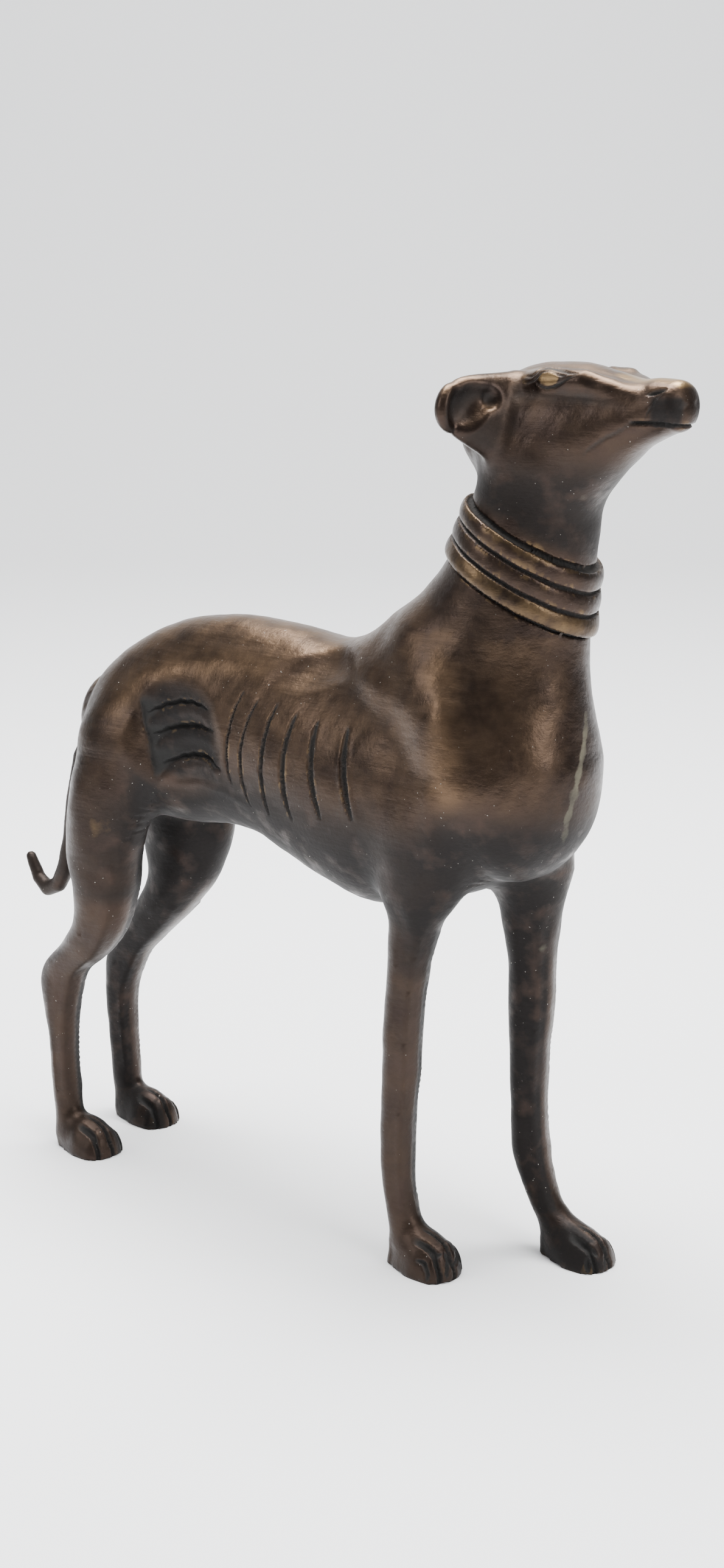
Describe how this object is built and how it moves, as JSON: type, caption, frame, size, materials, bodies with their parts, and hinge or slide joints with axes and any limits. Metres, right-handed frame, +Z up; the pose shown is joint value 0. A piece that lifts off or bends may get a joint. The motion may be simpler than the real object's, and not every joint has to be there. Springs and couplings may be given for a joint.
{
  "type": "greyhound statue",
  "caption": "Standing greyhound in dark brown bronze with a three-band collar, chased ribs and flank folds, and a hooked tail.",
  "frame": {"origin": "on the floor under the middle of the figure's box, between the four paws", "axes": "+X the way the dog faces, +Y its left side, +Z up"},
  "size_m": [0.3658, 0.0946, 0.3664],
  "materials": {
    "bronze": "dark brown chemical patina, waxed, rubbed to warm copper on the high places"
  },
  "bodies": {
    "root": {"greyhound": "bronze"}
  },
  "joints": []
}
